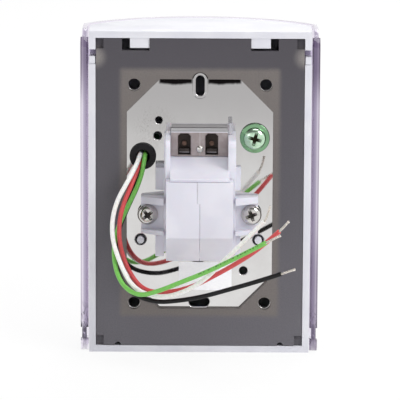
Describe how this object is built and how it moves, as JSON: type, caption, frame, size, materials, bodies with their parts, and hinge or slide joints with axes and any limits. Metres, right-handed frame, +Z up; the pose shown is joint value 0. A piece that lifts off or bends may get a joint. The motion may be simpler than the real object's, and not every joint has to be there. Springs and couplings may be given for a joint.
{
  "type": "pushbutton station",
  "caption": "Wall-mounted pushbutton station: bowed white housing, lift-up clear cover, gasketed steel back plate, contact blocks and four bare-ended leads.",
  "frame": {"origin": "middle of the four-hole screw pattern, in the wall plane that the housing's rim meets", "axes": "+Y from the wall to the front, +Z up, +X to the right seen from behind"},
  "size_m": [0.0896, 0.1085, 0.1224],
  "materials": {
    "black_plastic": "moulded",
    "black_rubber": "matte",
    "board_green": "glass-fibre board",
    "brass": "bright",
    "clear_plastic": "clear polycarbonate",
    "copper": "tinned copper strands",
    "foam": "matte closed-cell foam",
    "green_steel": "green plated",
    "grey_plastic": "moulded",
    "label_paper": "coated label",
    "lamp_lens": "diffused lens",
    "lead_black": "insulation",
    "lead_green": "insulation",
    "lead_red": "insulation",
    "lead_white": "insulation",
    "natural_plastic": "translucent moulded",
    "red_plastic": "gloss moulded",
    "spring_steel": "spring wire",
    "steel": "nickel plated",
    "terminal_metal": "dull plated",
    "white_plastic": "satin moulded",
    "zinc": "bright zinc plate"
  },
  "bodies": {
    "station": {"back_plate": "zinc", "bezel_seal": "black_rubber", "board_screws": "steel", "bush_nut": "black_plastic", "centre_screw": "steel", "contact_block_left": "white_plastic", "contact_block_right": "white_plastic", "contact_holder": "white_plastic", "fixed_contacts": "brass", "gasket": "foam", "grommet": "black_rubber", "ground_screw": "green_steel", "guide_bush": "black_plastic", "holder_screws": "steel", "housing": "white_plastic", "label": "label_paper", "lamp_board": "board_green", "lamps": "lamp_lens", "lead_black": "lead_black", "lead_block": "natural_plastic", "lead_end_black": "copper", "lead_end_green": "copper", "lead_end_red": "copper", "lead_end_white": "copper", "lead_green": "lead_green", "lead_red": "lead_red", "lead_white": "lead_white", "locating_post": "natural_plastic", "pivot_keepers": "grey_plastic", "release_latch": "grey_plastic", "terminal_clamps": "steel", "terminal_plate": "terminal_metal", "wire_screws": "brass"},
    "cover": {"cover": "clear_plastic"},
    "button": {"button_head": "red_plastic", "button_stem": "natural_plastic", "retaining_clip": "spring_steel", "actuator": "black_plastic", "return_spring": "spring_steel"},
    "contacts": {"plungers": "red_plastic", "contact_bridges": "brass", "plunger_springs": "spring_steel"}
  },
  "joints": [
    {"name": "cover_hinge", "type": "hinge", "parent": "station", "child": "cover", "pos_m": [0, 0.01, 0.0516], "axis": [1, 0, 0], "range_deg": [0, 85]},
    {"name": "button_press", "type": "slide", "parent": "station", "child": "button", "axis": [0, -1, 0], "range_m": [0, 0.005], "stiffness_N_per_m": 600, "springref_m": -0.002, "deforming": ["return_spring"]},
    {"name": "contact_press", "type": "slide", "parent": "station", "child": "contacts", "axis": [0, -1, 0], "range_m": [0, 0.005], "stiffness_N_per_m": 200, "springref_m": -0.002, "deforming": ["plunger_springs"]}
  ],
  "couplings": [
    {"joint": "contact_press", "follows": "button_press", "ratio": 1}
  ]
}
